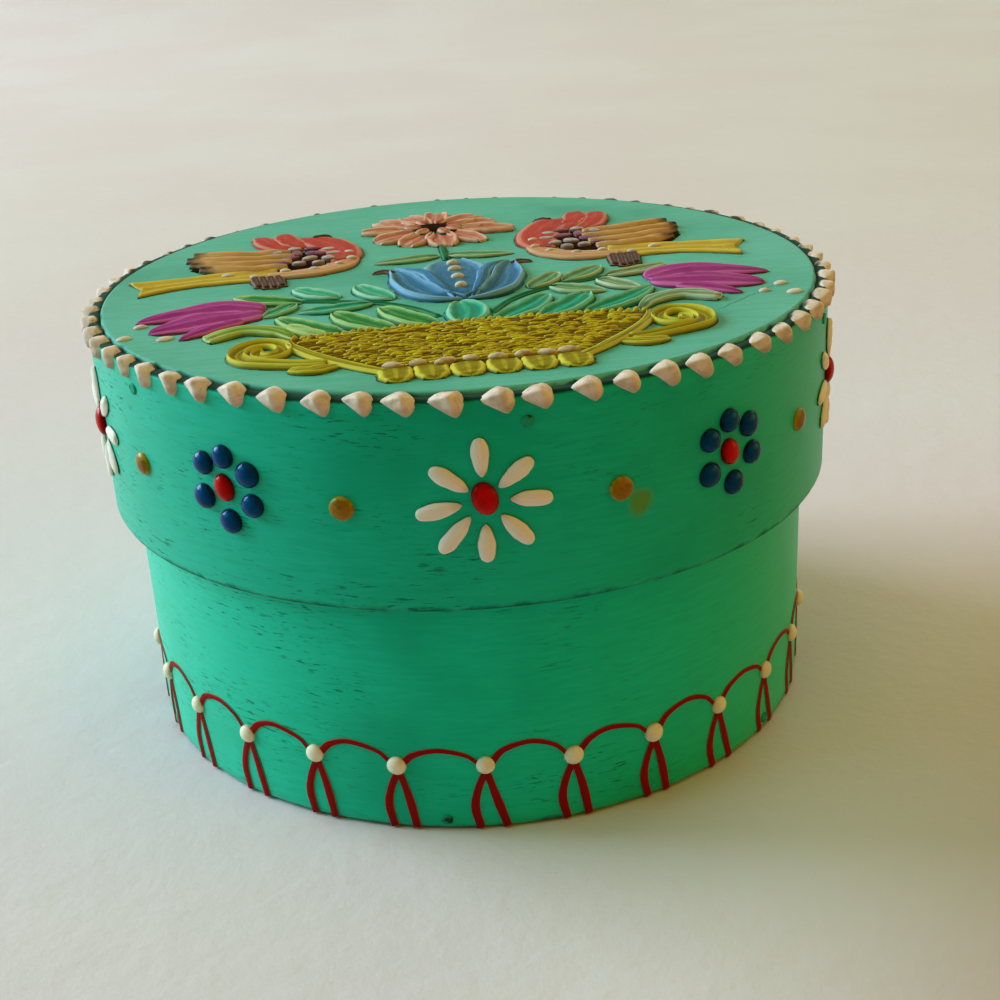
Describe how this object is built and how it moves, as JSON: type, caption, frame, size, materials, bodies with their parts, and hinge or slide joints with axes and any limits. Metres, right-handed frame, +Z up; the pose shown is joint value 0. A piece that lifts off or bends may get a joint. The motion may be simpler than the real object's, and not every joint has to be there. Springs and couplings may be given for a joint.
{
  "type": "round bentwood box with lid",
  "caption": "Round bentwood box with a lift-off lid, painted, with raised dots and a raised flower basket and birds.",
  "frame": {"origin": "centre of the flat underside that the box stands on", "axes": "+Z up along the box's axis; -Y is the front, from which the picture on the lid is upright; +X right"},
  "size_m": [0.1026, 0.1026, 0.0604],
  "materials": {
    "turquoise_paint": "satin turquoise paint over thin wood",
    "bare_wood": "bare sanded wood",
    "brad_steel": "dull, slightly rusty",
    "red_paint": "gloss",
    "cream_paint": "satin",
    "white_paint": "satin",
    "dark_blue_paint": "gloss",
    "ochre_paint": "gloss",
    "basket_paint": "satin, brown glaze in the hollows",
    "leaf_paint": "satin, lighter edges",
    "tulip_blue_paint": "satin, lighter edges",
    "tulip_purple_paint": "satin, lighter edges",
    "daisy_paint": "satin, redder towards the heart",
    "dark_brown_paint": "satin",
    "bird_red_paint": "satin",
    "bird_peach_paint": "satin",
    "bird_grey_paint": "satin, spotted",
    "bird_wing_paint": "satin, dark lines between the feathers",
    "bird_yellow_paint": "satin"
  },
  "bodies": {
    "box": {"body_band": "turquoise_paint", "body_base": "bare_wood", "base_brads": "brad_steel", "lacing_arches": "red_paint", "lacing_legs": "red_paint", "lacing_dots": "cream_paint"},
    "lid": {"lid_band": "turquoise_paint", "lid_panel": "turquoise_paint", "lid_brads": "brad_steel", "rim_beads": "cream_paint", "white_petals": "white_paint", "blue_petals": "dark_blue_paint", "flower_centres": "red_paint", "ochre_dots": "ochre_paint", "basket_bowl": "basket_paint", "basket_foot": "basket_paint", "basket_handles": "basket_paint", "basket_beads": "cream_paint", "basket_leaves": "leaf_paint", "rim_leaves": "leaf_paint", "spray_leaves": "leaf_paint", "spray_stems": "leaf_paint", "blue_tulip": "tulip_blue_paint", "tulip_dots": "white_paint", "purple_tulips": "tulip_purple_paint", "tulip_seeds": "white_paint", "daisy_petals": "daisy_paint", "daisy_heart": "dark_brown_paint", "daisy_leaves": "leaf_paint", "daisy_stem": "leaf_paint", "bird_heads": "bird_red_paint", "bird_crests": "bird_red_paint", "bird_necks": "bird_grey_paint", "bird_breasts": "bird_peach_paint", "bird_wings": "bird_wing_paint", "bird_tails": "bird_yellow_paint", "bird_legs": "dark_brown_paint"}
  },
  "joints": [
    {"name": "lid_lift", "type": "slide", "parent": "box", "child": "lid", "axis": [0, 0, 1], "range_m": [0, 0.06]}
  ]
}
